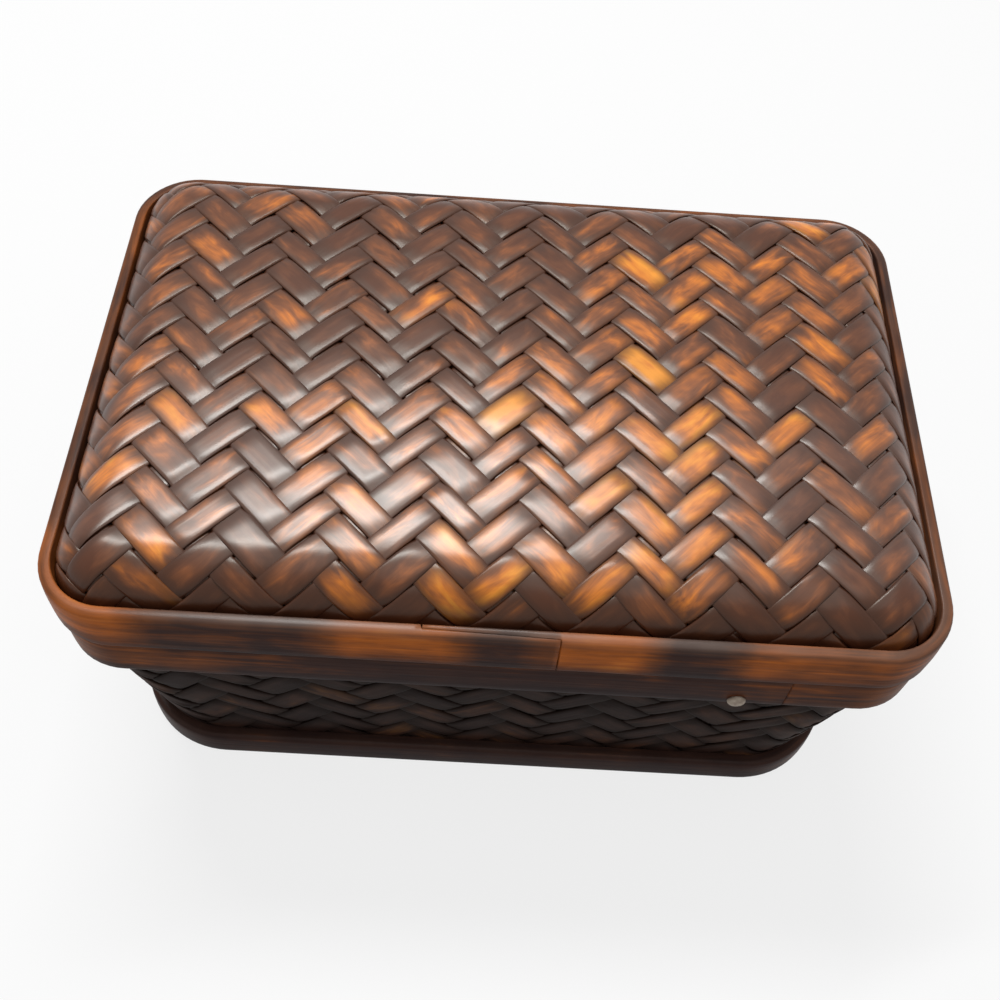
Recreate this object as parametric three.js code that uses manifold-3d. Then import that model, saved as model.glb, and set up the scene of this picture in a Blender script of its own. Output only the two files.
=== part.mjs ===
// Woven bamboo trinket box: a pillowed cap lid that lifts off a base with leaning woven walls.
// Millimetres, +Z up, X along the long side, the front faces -Y, origin on the ground under the middle.

import * as THREE from 'three';
import { mergeVertices } from 'three/addons/utils/BufferGeometryUtils.js';
import Module from 'manifold-3d';

const wasm = await Module();
wasm.setup();

// Driving sizes of the whole box
const boxWidth = 150;
const boxDepth = 101;
const lidCornerRadius = 12;
const footCornerRadius = 18;

// How far the walls lean in from the rim hoop to the foot hoop, at the front and back and at the ends
const wallLean = 5.3;
const wallLeanEnds = 2.5;

// Clearances: between pieces that rest on each other, and between the lid and the collar
const seatGap = 0.3;
const slideGap = 0.35;

// Bent hoops: height of the band and thickness of the split bamboo
const lidHoopHeight = 10.4;
const lidHoopThick = 2.2;
const rimHoopHeight = 10;
const rimHoopThick = 2.6;
const footHoopHeight = 7.5;
const footHoopThick = 2;
const hoopEdgeRound = 0.5;

// Half laps of the hoops: length, thickness left at each end, and where the outer end shows
const lapLength = 22;
const lapEndThick = 0.7;
const lapShoulder = 0.2;
const lidLapEndX = 10;
const rimLapEndX = 50;
const footLapEndX = 18;

// Inner strips and liners
const lidInnerHoopThick = 0.9;
const collarThick = 1.6;
const collarRise = 6.7;
const collarLeadIn = 0.5;
const innerHoopLeadIn = 0.3;
const footLedgeHeight = 3;
const footLedgeThick = 3;
const footLedgeLeadIn = 0.3;
const linerThick = 1.2;

// Woven mats: pitch of the strips, full thickness of two crossing strips, and depth of the grooves
const lidStripPitch = 5.68;
const wallStripPitch = 6.1;
const floorStripPitch = 9;
const matThick = 1.5;
const grooveDepth = 0.6;
const wallVisibleHeight = 41.8;
const wallFootClear = 0.5;
const skirtClear = 0.3;

// Where the weave of the lid lies, from the middle of its top
const weaveShiftX = 1.98;
const weaveShiftY = 3.36;

// Pillow of the lid: width and height of its rounded edge, and the slight crown of its top
const pillowRun = 9.5;
const pillowRise = 9;
const pillowCrown = 1.5;
const skirtAboveHoop = 3;

// Pin in the rim hoop
const pinHeadRadius = 1.6;
const pinHeadHeight = 0.5;
const pinShankRadius = 0.6;
const pinX = 42;
const pinAboveHoopEdge = 1.8;

// Fineness of the round stretches
const cornerSteps = 6;
const crownSideSteps = 2;
const pillowSteps = 5;
const crownSteps = 2;
const linerSteps = 3;
const pinSides = 12;
const arcTableSteps = 200;

// One overrun for every cutting solid
const cutOverrun = 5;

// Heights, from the ground up
const footTop = footHoopHeight;
const rimBottom = footTop + wallVisibleHeight;
const rimTop = rimBottom + rimHoopHeight;
const lidBottom = rimTop + seatGap;
const lidHoopTop = lidBottom + lidHoopHeight;
const pillowStart = lidHoopTop - skirtAboveHoop;
const floorMatBottom = footLedgeHeight + seatGap;
const floorMatTop = floorMatBottom + matThick;
const linerBottom = floorMatTop + seatGap;

// Insets from the outer face of the lid hoop, from the outside in
const lidMatInset = lidHoopThick + seatGap;
const lidInnerHoopInset = lidMatInset + matThick + seatGap;
const collarInset = lidInnerHoopInset + lidInnerHoopThick + slideGap;
const wallMatInset = collarInset - seatGap - matThick;
const rimHoopInset = wallMatInset - seatGap - rimHoopThick;
const footMatInset = wallMatInset + wallLean;
const footHoopInset = footMatInset - seatGap - footHoopThick;
const footLedgeInset = footMatInset + matThick + seatGap;

const quarterTurn = Math.PI / 2;

// Half the diagonal of a square cell of each mat
const lidDiagonalStep = lidStripPitch * Math.SQRT1_2;
const wallDiagonalStep = wallStripPitch * Math.SQRT1_2;
const floorDiagonalStep = floorStripPitch * Math.SQRT1_2;

// Outlines

// A rounded rectangle lying inside the lid hoop's outer face by an inset
function lidOutline(inset) {
  return {
    halfX: boxWidth / 2 - inset,
    halfY: boxDepth / 2 - inset,
    radius: Math.max(lidCornerRadius - inset, 0),
  };
}

// The same for pieces at the foot, where the corners are rounder and the ends have leaned in less
function footOutline(inset) {
  const { halfX, halfY } = lidOutline(inset);
  return {
    halfX: halfX + wallLean - wallLeanEnds,
    halfY,
    radius: footCornerRadius - (inset - footHoopInset),
  };
}

// How far the wall has leaned in at a height, from 0 at the rim hoop to 1 at the foot hoop
function leanShare(z) {
  return THREE.MathUtils.clamp((rimBottom - z) / wallVisibleHeight, 0, 1);
}

// The wall's outline at a height, inside the outer face of the woven band by a depth
function wallOutline(z, depth) {
  const share = leanShare(z);
  const top = lidOutline(wallMatInset + depth);
  const foot = footOutline(footMatInset + depth);
  return {
    halfX: THREE.MathUtils.lerp(top.halfX, foot.halfX, share),
    halfY: THREE.MathUtils.lerp(top.halfY, foot.halfY, share),
    radius: THREE.MathUtils.lerp(top.radius, foot.radius, share),
  };
}

// The sides and corners of an outline, anticlockwise from above, starting at the middle of the front
function outlineParts({ halfX, halfY, radius }) {
  const straightX = halfX - radius;
  const straightY = halfY - radius;
  const arcLength = quarterTurn * radius;
  const corner = (cx, cy, turn) => ({ corner: true, length: arcLength, cx, cy, turn, radius });
  const side = (x, y, turn, length) => ({ corner: false, length, x, y, turn });
  return [
    side(0, -halfY, 0, straightX),
    corner(straightX, -straightY, 0),
    side(halfX, -straightY, 1, 2 * straightY),
    corner(straightX, straightY, 1),
    side(straightX, halfY, 2, 2 * straightX),
    corner(-straightX, straightY, 2),
    side(-halfX, straightY, 3, 2 * straightY),
    corner(-straightX, -straightY, 3),
    side(-straightX, -halfY, 0, straightX),
  ];
}

// A point on one side or corner at a share of its length, with its outward direction
function pointOnPart(part, share) {
  const heading = part.turn * quarterTurn;
  if (part.corner) {
    const angle = heading - quarterTurn + share * quarterTurn;
    const out = new THREE.Vector2(Math.cos(angle), Math.sin(angle));
    return { x: part.cx + part.radius * out.x, y: part.cy + part.radius * out.y, out };
  }
  const out = new THREE.Vector2(Math.sin(heading), -Math.cos(heading));
  const run = share * part.length;
  return { x: part.x - run * out.y, y: part.y + run * out.x, out };
}

function lengthAround(outline) {
  return outlineParts(outline).reduce((sum, part) => sum + part.length, 0);
}

// Which side or corner lies at a distance round an outline from the middle of the front, and at what share
function placeAlong(outline, distance) {
  const parts = outlineParts(outline);
  let left = THREE.MathUtils.euclideanModulo(distance, lengthAround(outline));
  for (const [index, part] of parts.entries()) {
    if (left <= part.length) return { index, share: part.length ? left / part.length : 0 };
    left -= part.length;
  }
  return { index: parts.length - 1, share: 1 };
}

// Points round an outline, the same number for every outline, so that rings can be lofted. Each straight
// part is cut into as many steps as stated, which is one where it lies level.
function ringPoints(outline, sideSteps) {
  const points = [];
  for (const part of outlineParts(outline)) {
    const steps = part.corner ? cornerSteps : sideSteps;
    for (let k = 0; k < steps; k += 1) points.push(pointOnPart(part, k / steps));
  }
  return points;
}

// Solids

// Joins the points that coincide, and drops the triangles that close up to nothing with them
function welded(geometry) {
  const bare = geometry.clone();
  bare.deleteAttribute('normal');
  bare.deleteAttribute('uv');
  const merged = mergeVertices(bare);
  const index = merged.index.array;
  const kept = [];
  for (let k = 0; k < index.length; k += 3) {
    const [a, b, c] = index.subarray(k, k + 3);
    if (a !== b && b !== c && c !== a) kept.push(a, b, c);
  }
  merged.setIndex(kept);
  return merged;
}

function geometryFrom(positions, triangles) {
  const geometry = new THREE.BufferGeometry();
  geometry.setAttribute('position', new THREE.Float32BufferAttribute(positions.flat(), 3));
  geometry.setIndex(triangles.flat());
  return welded(geometry);
}

function toSolid(geometry) {
  const whole = welded(geometry);
  const vertProperties = new Float32Array(whole.attributes.position.array);
  const triVerts = new Uint32Array(whole.index.array);
  return new wasm.Manifold(new wasm.Mesh({ numProp: 3, vertProperties, triVerts }));
}

function fromSolid(solid) {
  const mesh = solid.getMesh();
  const geometry = new THREE.BufferGeometry();
  geometry.setAttribute('position', new THREE.BufferAttribute(mesh.vertProperties, mesh.numProp));
  geometry.setIndex(new THREE.BufferAttribute(mesh.triVerts, 1));
  return geometry;
}

// Lofts rings of points into a closed body. A looped body's last ring joins its first, as in a hoop;
// otherwise both ends are closed to a point in their middle.
function loftRings(rings, looped) {
  const count = rings[0].length;
  const positions = rings.flat();
  const triangles = [];
  const joins = looped ? rings.length : rings.length - 1;
  for (let k = 0; k < joins; k += 1) {
    const low = k * count;
    const high = ((k + 1) % rings.length) * count;
    for (let i = 0; i < count; i += 1) {
      const next = (i + 1) % count;
      triangles.push([low + i, low + next, high + next], [low + i, high + next, high + i]);
    }
  }
  if (!looped) {
    const last = (rings.length - 1) * count;
    const startMiddle = positions.push([0, 0, middleHeight(rings[0])]) - 1;
    const endMiddle = positions.push([0, 0, middleHeight(rings.at(-1))]) - 1;
    for (let i = 0; i < count; i += 1) {
      const next = (i + 1) % count;
      triangles.push([startMiddle, next, i], [endMiddle, last + i, last + next]);
    }
  }
  return geometryFrom(positions, triangles);
}

// The middle of a closing fan lies as high as the highest point of its ring
function middleHeight(ring) {
  return Math.max(...ring.map((point) => point[2]));
}

// A ring of an outline at one height
function levelRing(outline, z) {
  return ringPoints(outline, 1).map(({ x, y }) => [x, y, z]);
}

// A plain bent strip: a closed band between two outlines, with a small lead-in at its top outer edge
function band(outlineAt, thick, low, high, leadIn) {
  return loftRings([
    levelRing(outlineAt(0), low),
    levelRing(outlineAt(0), high - leadIn),
    levelRing(outlineAt(leadIn), high),
    levelRing(outlineAt(thick), high),
    levelRing(outlineAt(thick), low),
  ], true);
}

// A box-shaped cutter that takes away everything below or above a height
function slabCutter(low, high) {
  const width = boxWidth + 2 * cutOverrun;
  const depth = boxDepth + 2 * cutOverrun;
  return toSolid(new THREE.BoxGeometry(width, depth, high - low).translate(0, 0, (low + high) / 2));
}

// Bent hoops with a half lap

// Section of a split bamboo band as depth behind the outer face and height: flat inside, crowned outside
function hoopSection(thick, low, high, frontDepth, backDepth) {
  const skinShare = 0.3;
  const edge = hoopEdgeRound;
  const section = [
    [thick, low], [edge, low], [edge * skinShare, low + edge], [0, (low + high) / 2],
    [edge * skinShare, high - edge], [edge, high], [thick, high],
  ];
  return section.map(([depth, z]) => [Math.min(Math.max(depth, frontDepth), backDepth), z]);
}

// A hoop bent from one strip. It starts thinned from the front, runs once round, and ends thinned from the
// back over its own start. The stations hold the distance along the strip and the depths left there.
function lappedHoop(outline, thick, low, high, lapEndX) {
  const parts = outlineParts(outline);
  const around = lengthAround(outline);
  const start = lapEndX - lapLength;
  const startDepth = thick - lapEndThick;
  const endDepth = lapEndThick + seatGap;
  const stations = [
    [0, startDepth, thick],
    [lapLength, endDepth, thick],
    [lapLength + seatGap, endDepth, thick],
    [lapLength + seatGap + lapShoulder, 0, thick],
  ];
  let along = -start;
  for (const part of parts) {
    if (part.corner) {
      for (let k = 0; k <= cornerSteps; k += 1) {
        stations.push([along + (k / cornerSteps) * part.length, 0, thick]);
      }
    }
    along += part.length;
  }
  stations.push(
    [around - seatGap - lapShoulder, 0, thick],
    [around - seatGap, 0, startDepth - seatGap],
    [around + lapLength, 0, lapEndThick],
  );
  const sections = stations.map(([distance, frontDepth, backDepth]) => {
    const { index, share } = placeAlong(outline, start + distance);
    const { x, y, out } = pointOnPart(parts[index], share);
    const section = hoopSection(thick, low, high, frontDepth, backDepth);
    return section.map(([depth, z]) => [x - out.x * depth, y - out.y * depth, z]);
  });
  return strip(sections);
}

// Lofts open sections into a body with flat ends
function strip(sections) {
  const count = sections[0].length;
  const last = (sections.length - 1) * count;
  const triangles = [];
  for (let k = 0; k + 1 < sections.length; k += 1) {
    for (let i = 0; i < count; i += 1) {
      const a = k * count + i;
      const b = k * count + ((i + 1) % count);
      triangles.push([a, a + count, b + count], [a, b + count, b]);
    }
  }
  for (let i = 1; i + 1 < count; i += 1) {
    triangles.push([0, i, i + 1], [last, last + i + 1, last + i]);
  }
  return geometryFrom(sections.flat(), triangles);
}

// Woven mats

// The weave is a lattice of strips at 45 degrees. Column counts the strips of one family plus those of the
// other, row their difference, so a point lies at column and row times the diagonal step. One family lies
// on top where the column modulo 4 is 0 or 1, the other where it is 2 or 3: each strip goes over two
// and under two. A strip shows as a stretch of two cells, and its face is raised between the grooves.

// The lattice is counted in sixths of a cell: the slope from a groove up to the raised face takes one
const cellGrid = 6;
const stretchGrid = 2 * cellGrid;

// Faces of a level stretch, as points along it and across it
const levelStretch = [
  [[1, 1], [stretchGrid - 1, 1], [stretchGrid - 1, cellGrid - 1], [1, cellGrid - 1]],
  [[cellGrid, 0], [stretchGrid, 0], [stretchGrid - 1, 1], [1, 1], [0, 0]],
  [[stretchGrid, 0], [stretchGrid, cellGrid], [stretchGrid - 1, cellGrid - 1], [stretchGrid - 1, 1]],
  [
    [cellGrid, cellGrid], [0, cellGrid], [1, cellGrid - 1],
    [stretchGrid - 1, cellGrid - 1], [stretchGrid, cellGrid],
  ],
  [[0, cellGrid], [0, 0], [1, 1], [1, cellGrid - 1]],
];

// Faces of its first cell alone, used in curved places and at the edge of the mat; the second cell is the
// first one turned half round
const firstCell = [
  [[1, 1], [cellGrid, 1], [cellGrid, cellGrid - 1], [1, cellGrid - 1]],
  [[0, 0], [cellGrid, 0], [cellGrid, 1], [1, 1]],
  [[cellGrid, cellGrid], [0, cellGrid], [1, cellGrid - 1], [cellGrid, cellGrid - 1]],
  [[0, cellGrid], [0, 0], [1, 1], [1, cellGrid - 1]],
];
const secondCell = firstCell.map((face) => {
  return face.map(([along, across]) => [stretchGrid - along, cellGrid - across]);
});

// The stretch that a cell belongs to: the corner it starts from, whether it climbs or falls to the right,
// and whether the cell is its second one
function stretchOf(column, row) {
  const phase = THREE.MathUtils.euclideanModulo(column, 4);
  const slant = phase < 2 ? -1 : 1;
  const second = phase % 2 === 1;
  const back = second ? 1 : 0;
  return { column: column - back, row: row - slant * back, slant, second };
}

// Builds the woven face of the cells given. place puts a lattice point on the mat at a depth below its
// outer face; bends says where the mat is curved, so that the stretches there are built cell by cell.
function wovenSheet(cells, place, bends, columnsAround) {
  const positions = [];
  const triangles = [];
  const known = new Map();
  const wrap = (column, grid) => {
    return columnsAround ? THREE.MathUtils.euclideanModulo(column, columnsAround * grid) : column;
  };
  const latticePoint = (stretch, [along, across]) => ({
    column: wrap(stretch.column * cellGrid + along + across, cellGrid),
    row: stretch.row * cellGrid + stretch.slant * (along - across),
  });
  const vertex = (stretch, [along, across]) => {
    const { column, row } = latticePoint(stretch, [along, across]);
    const key = `${column},${row}`;
    if (!known.has(key)) {
      const raised = along % stretchGrid !== 0 && across % cellGrid !== 0;
      const point = place(column / cellGrid, row / cellGrid, raised ? 0 : grooveDepth);
      known.set(key, positions.push(point) - 1);
    }
    return known.get(key);
  };
  const chosen = new Set(cells.map(([column, row]) => `${column},${row}`));
  const isLevel = (stretch) => {
    const whole = chosen.has(`${wrap(stretch.column, 1)},${stretch.row}`)
      && chosen.has(`${wrap(stretch.column + 1, 1)},${stretch.row + stretch.slant}`);
    return whole && [0, cellGrid, stretchGrid].every((along) => [0, cellGrid].every((across) => {
      const { column, row } = latticePoint(stretch, [along, across]);
      return !bends(column / cellGrid, row / cellGrid);
    }));
  };
  for (const cell of cells) {
    const stretch = stretchOf(...cell);
    const level = isLevel(stretch);
    if (level && stretch.second) continue;
    const ownCell = stretch.second ? secondCell : firstCell;
    for (const face of level ? levelStretch : ownCell) {
      const corners = face.map((point) => vertex(stretch, point));
      if (stretch.slant > 0) corners.reverse();
      // Each fan starts from the groove point in the middle of a long edge, where the face has one
      const from = stretch.slant > 0 ? corners.length - 1 : 0;
      const fan = [...corners.slice(from), ...corners.slice(0, from)];
      for (let k = 1; k + 1 < fan.length; k += 1) triangles.push([fan[0], fan[k], fan[k + 1]]);
    }
  }
  return { positions, triangles };
}

// Closes a woven face into a solid: straight walls from its free edges to a level cap, closed to the middle
function closeSheet({ positions, triangles }, capHeight) {
  const directed = new Set();
  for (const [a, b, c] of triangles) {
    directed.add(`${a},${b}`).add(`${b},${c}`).add(`${c},${a}`);
  }
  const capPoints = new Map();
  const capPoint = (index) => {
    const [x, y, z] = positions[index];
    if (!capPoints.has(index)) capPoints.set(index, positions.push([x, y, capHeight(z)]) - 1);
    return capPoints.get(index);
  };
  const middles = new Map();
  const middle = (z) => {
    if (!middles.has(z)) middles.set(z, positions.push([0, 0, z]) - 1);
    return middles.get(z);
  };
  const free = [...directed].map((edge) => edge.split(',').map(Number))
    .filter(([a, b]) => !directed.has(`${b},${a}`));
  for (const [a, b] of free) {
    const lowA = capPoint(a);
    const lowB = capPoint(b);
    const centre = middle(capHeight(positions[a][2]));
    triangles.push([b, a, lowA], [b, lowA, lowB], [lowB, lowA, centre]);
  }
  return toSolid(geometryFrom(positions, triangles));
}

// Cells whose column and row have the same parity and that a test accepts
function latticeCells(columns, rows, accepts) {
  const cells = [];
  for (let column = -columns; column <= columns; column += 1) {
    for (let row = -rows; row <= rows; row += 1) {
      const paired = (column + row) % 2 === 0;
      if (paired && accepts(column + 1, row)) cells.push([column, row]);
    }
  }
  return cells;
}

// The pillow of the lid

const pillowOutline = lidOutline(lidMatInset);
const pillowCore = {
  halfX: pillowOutline.halfX - pillowRun,
  halfY: pillowOutline.halfY - pillowRun,
  radius: Math.max(pillowOutline.radius - pillowRun, 0),
};
const pillowTop = pillowStart + pillowRise;

// Distances along the quarter ellipse of the pillow's edge, from its level top to its upright side
const pillowArc = [0];
for (let k = 1; k <= arcTableSteps; k += 1) {
  const angle = ((k - 0.5) / arcTableSteps) * quarterTurn;
  const step = Math.hypot(pillowRun * Math.cos(angle), pillowRise * Math.sin(angle));
  pillowArc.push(pillowArc[k - 1] + (step * quarterTurn) / arcTableSteps);
}
const pillowArcLength = pillowArc.at(-1);

// How far out and how far down the pillow's edge has gone at an angle on the ellipse, at a depth under it
function ellipseEdge(angle, depth) {
  const normal = new THREE.Vector2(Math.sin(angle) / pillowRun, Math.cos(angle) / pillowRise).normalize();
  return {
    out: pillowRun * Math.sin(angle) - depth * normal.x,
    down: pillowRise * (1 - Math.cos(angle)) + depth * normal.y,
  };
}

// The same at a distance along the surface past the level core; past the ellipse it goes straight down
function pillowEdge(distance, depth) {
  if (distance >= pillowArcLength) {
    return { out: pillowRun - depth, down: pillowRise + distance - pillowArcLength };
  }
  const k = pillowArc.findIndex((length) => length > distance);
  const share = (distance - pillowArc[k - 1]) / (pillowArc[k] - pillowArc[k - 1]);
  return ellipseEdge(((k - 1 + share) / arcTableSteps) * quarterTurn, depth);
}

// The crown lifts the middle of the top and fades out at its edges
function withCrown(x, y, z) {
  const fadeX = Math.max(1 - (x / pillowOutline.halfX) ** 2, 0);
  const fadeY = Math.max(1 - (y / pillowOutline.halfY) ** 2, 0);
  return [x, y, z + pillowCrown * fadeX * fadeY];
}

// The nearest point of the core's middle rectangle, and how far past the core a point of the flat mat lies
function pastCore(x, y) {
  const spanX = pillowCore.halfX - pillowCore.radius;
  const spanY = pillowCore.halfY - pillowCore.radius;
  const nearX = THREE.MathUtils.clamp(x, -spanX, spanX);
  const nearY = THREE.MathUtils.clamp(y, -spanY, spanY);
  const span = Math.hypot(x - nearX, y - nearY);
  return { nearX, nearY, span, distance: span - pillowCore.radius };
}

// Wraps a point of the flat mat over the pillow, at a depth under its outer face
function onPillow(x, y, depth) {
  const { nearX, nearY, span, distance } = pastCore(x, y);
  if (distance <= 0) return withCrown(x, y, pillowTop - depth);
  const { out, down } = pillowEdge(distance, depth);
  const turn = (pillowCore.radius + out) / span;
  return withCrown(nearX + (x - nearX) * turn, nearY + (y - nearY) * turn, pillowTop - down);
}

// The pillow's ring at a distance out from its core
function pillowRing(out, z) {
  const outline = {
    halfX: pillowCore.halfX + out,
    halfY: pillowCore.halfY + out,
    radius: Math.max(pillowCore.radius + out, 0),
  };
  return ringPoints(outline, crownSideSteps).map(({ x, y }) => withCrown(x, y, z));
}

// Rings of the pillow at a depth under its outer face, from its upright side to near the middle of its top
function pillowRings(depth, edgeSteps, topSteps) {
  const rings = [];
  for (let k = 0; k <= edgeSteps; k += 1) {
    const { out, down } = ellipseEdge(quarterTurn * (1 - k / edgeSteps), depth);
    rings.push(pillowRing(out, pillowTop - down));
  }
  for (let k = 1; k <= topSteps; k += 1) {
    rings.push(pillowRing((-k / (topSteps + 1)) * pillowCore.halfY, pillowTop - depth));
  }
  return rings;
}

// Lid pieces

// The relief ends on the upright skirt, out of sight between the hoops, and the rest of the skirt is plain
function lidWeave() {
  const skirtBottom = lidBottom + skirtClear;
  const reach = pillowArcLength + lidDiagonalStep;
  const flat = (column, row) => {
    return [column * lidDiagonalStep + weaveShiftX, row * lidDiagonalStep + weaveShiftY];
  };
  const columns = Math.ceil((pillowCore.halfX + reach + weaveShiftX) / lidDiagonalStep);
  const rows = Math.ceil((pillowCore.halfY + reach + weaveShiftY) / lidDiagonalStep);
  const accepts = (column, row) => pastCore(...flat(column, row)).distance < reach;
  const bends = (column, row) => {
    const { nearX, nearY, distance } = pastCore(...flat(column, row));
    const [x, y] = flat(column, row);
    const inCorner = nearX !== x && nearY !== y;
    return inCorner || (distance > 0 && distance < pillowArcLength);
  };
  const place = (column, row, depth) => onPillow(...flat(column, row), depth);
  const sheet = wovenSheet(latticeCells(columns, rows, accepts), place, bends);
  const cap = skirtBottom - 2 * lidDiagonalStep - cutOverrun;
  const mould = loftRings([
    pillowRing(pillowRun - matThick, cap - cutOverrun),
    ...pillowRings(matThick, pillowSteps, crownSteps),
  ], false);
  return fromSolid(closeSheet(sheet, () => cap)
    .subtract(toSolid(mould))
    .subtract(slabCutter(cap - 2 * cutOverrun, skirtBottom)));
}

function lidOuterHoop() {
  return lappedHoop(lidOutline(0), lidHoopThick, lidBottom, lidHoopTop, lidLapEndX);
}

function lidInnerHoop() {
  const outlineAt = (depth) => lidOutline(lidInnerHoopInset + depth);
  return band(outlineAt, lidInnerHoopThick, lidBottom, pillowStart - seatGap, innerHoopLeadIn);
}

// A thin shell under the mat, from its inner middle down to the lip and back up over its outer face
function lidLiner() {
  const outerDepth = matThick + seatGap;
  const inner = pillowRings(outerDepth + linerThick, linerSteps, 1);
  const outer = pillowRings(outerDepth, linerSteps, 1);
  return loftRings([...inner.reverse(), ...outer], false);
}

// Base pieces

// The wall's lattice is stretched slightly, so that a whole number of repeats goes round. Its relief ends
// behind the foot hoop and the rim hoop, where the wall stands upright.
function baseWallWeave() {
  const low = wallFootClear;
  const high = rimTop - seatGap;
  const middle = wallOutline((rimBottom + footTop) / 2, 0);
  const around = lengthAround(middle);
  const columnsAround = 4 * Math.round(around / (4 * wallDiagonalStep));
  const onWall = (column, row, depth) => {
    const z = row * wallDiagonalStep;
    const { index, share } = placeAlong(middle, (column / columnsAround) * around);
    const part = outlineParts(wallOutline(z, depth))[index];
    const { x, y } = pointOnPart(part, share);
    return { point: [x, y, z], corner: part.corner };
  };
  const bends = (column, row) => onWall(column, row, 0).corner;
  const lowRow = Math.floor(footTop / wallDiagonalStep);
  const highRow = Math.ceil(rimBottom / wallDiagonalStep);
  const cells = [];
  for (let column = 0; column < columnsAround; column += 1) {
    for (let row = lowRow; row <= highRow; row += 1) {
      if ((column + row) % 2 === 0) cells.push([column, row]);
    }
  }
  const place = (column, row, depth) => onWall(column, row, depth).point;
  const sheet = wovenSheet(cells, place, bends, columnsAround);
  const capLow = low - cutOverrun;
  const capHigh = high + cutOverrun;
  const core = loftRings([
    levelRing(wallOutline(low, matThick), capLow - cutOverrun),
    levelRing(wallOutline(footTop, matThick), footTop),
    levelRing(wallOutline(rimBottom, matThick), rimBottom),
    levelRing(wallOutline(high, matThick), capHigh + cutOverrun),
  ], false);
  return fromSolid(closeSheet(sheet, (z) => (z < (low + high) / 2 ? capLow : capHigh))
    .subtract(toSolid(core))
    .subtract(slabCutter(capLow - cutOverrun, low))
    .subtract(slabCutter(high, capHigh + cutOverrun)));
}

function baseRimHoop() {
  const hoop = lappedHoop(lidOutline(rimHoopInset), rimHoopThick, rimBottom, rimTop, rimLapEndX);
  const boreLength = rimHoopThick + 2 * cutOverrun;
  const boreRadius = pinShankRadius + seatGap;
  const bore = new THREE.CylinderGeometry(boreRadius, boreRadius, boreLength, pinSides)
    .translate(pinX, -lidOutline(rimHoopInset).halfY, rimBottom + pinAboveHoopEdge);
  return fromSolid(toSolid(hoop).subtract(toSolid(bore)));
}

// Domed head against the hoop, and a shank through the bore
function rimHoopPin() {
  const headSteps = 3;
  const profile = [new THREE.Vector2(0, -rimHoopThick), new THREE.Vector2(pinShankRadius, -rimHoopThick)];
  profile.push(new THREE.Vector2(pinShankRadius, seatGap));
  for (let k = 0; k < headSteps; k += 1) {
    const angle = (k / headSteps) * quarterTurn;
    profile.push(new THREE.Vector2(
      pinHeadRadius * Math.cos(angle),
      seatGap + pinHeadHeight * Math.sin(angle),
    ));
  }
  profile.push(new THREE.Vector2(0, seatGap + pinHeadHeight));
  return new THREE.LatheGeometry(profile, pinSides)
    .rotateX(2 * quarterTurn)
    .translate(pinX, -lidOutline(rimHoopInset).halfY, rimBottom + pinAboveHoopEdge);
}

function baseCollar() {
  const outlineAt = (depth) => lidOutline(collarInset + depth);
  return band(outlineAt, collarThick, rimBottom, rimTop + collarRise, collarLeadIn);
}

// A thin tray inside the woven walls, on the woven floor
function baseLiner() {
  const outerDepth = matThick + seatGap;
  const innerDepth = outerDepth + linerThick;
  const lip = rimBottom - seatGap;
  const ring = (z, depth) => levelRing(wallOutline(z, depth), z);
  return loftRings([
    ring(linerBottom, outerDepth),
    ring(footTop, outerDepth),
    ring(lip, outerDepth),
    ring(lip, innerDepth),
    ring(footTop, innerDepth),
    levelRing(wallOutline(linerBottom, innerDepth), linerBottom + linerThick),
  ], false);
}

function baseFloorWeave() {
  const outline = footOutline(footLedgeInset);
  const columns = Math.ceil(outline.halfX / floorDiagonalStep) + 2;
  const rows = Math.ceil(outline.halfY / floorDiagonalStep) + 2;
  const place = (column, row, depth) => {
    return [-column * floorDiagonalStep, row * floorDiagonalStep, floorMatBottom + depth];
  };
  const sheet = wovenSheet(latticeCells(columns, rows, () => true), place, () => false);
  const form = closeSheet(sheet, () => floorMatTop);
  const blank = loftRings([
    levelRing(outline, floorMatBottom - cutOverrun),
    levelRing(outline, floorMatTop + cutOverrun),
  ], false);
  return fromSolid(form.intersect(toSolid(blank)));
}

function baseFootHoop() {
  const hoop = lappedHoop(footOutline(footHoopInset), footHoopThick, 0, footTop, footLapEndX);
  return hoop.rotateZ(Math.PI);
}

function baseFootLedge() {
  const outlineAt = (depth) => footOutline(footLedgeInset + depth);
  return band(outlineAt, footLedgeThick, 0, footLedgeHeight, footLedgeLeadIn);
}

// Assembly

const lacquerBrown = { color: 0x6a3416, roughness: 0.35, metalness: 0 };
const amberBamboo = { color: 0x9a5420, roughness: 0.3, metalness: 0 };
const darkWall = { color: 0x3a2620, roughness: 0.45, metalness: 0 };
const plainBamboo = { color: 0x7d5a38, roughness: 0.6, metalness: 0 };
const paleBone = { color: 0xb5a48f, roughness: 0.4, metalness: 0 };

function piece(name, geometry, look) {
  const mesh = new THREE.Mesh(geometry, new THREE.MeshStandardMaterial(look));
  mesh.name = name;
  return mesh;
}

const lid = new THREE.Group();
lid.add(
  piece('lid_weave', lidWeave(), amberBamboo),
  piece('lid_outer_hoop', lidOuterHoop(), lacquerBrown),
  piece('lid_inner_hoop', lidInnerHoop(), plainBamboo),
  piece('lid_liner', lidLiner(), plainBamboo),
);

const base = new THREE.Group();
base.add(
  piece('base_wall_weave', baseWallWeave(), darkWall),
  piece('base_rim_hoop', baseRimHoop(), lacquerBrown),
  piece('rim_hoop_pin', rimHoopPin(), paleBone),
  piece('base_collar', baseCollar(), plainBamboo),
  piece('base_liner', baseLiner(), plainBamboo),
  piece('base_floor_weave', baseFloorWeave(), darkWall),
  piece('base_foot_hoop', baseFootHoop(), lacquerBrown),
  piece('base_foot_ledge', baseFootLedge(), plainBamboo),
);

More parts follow.
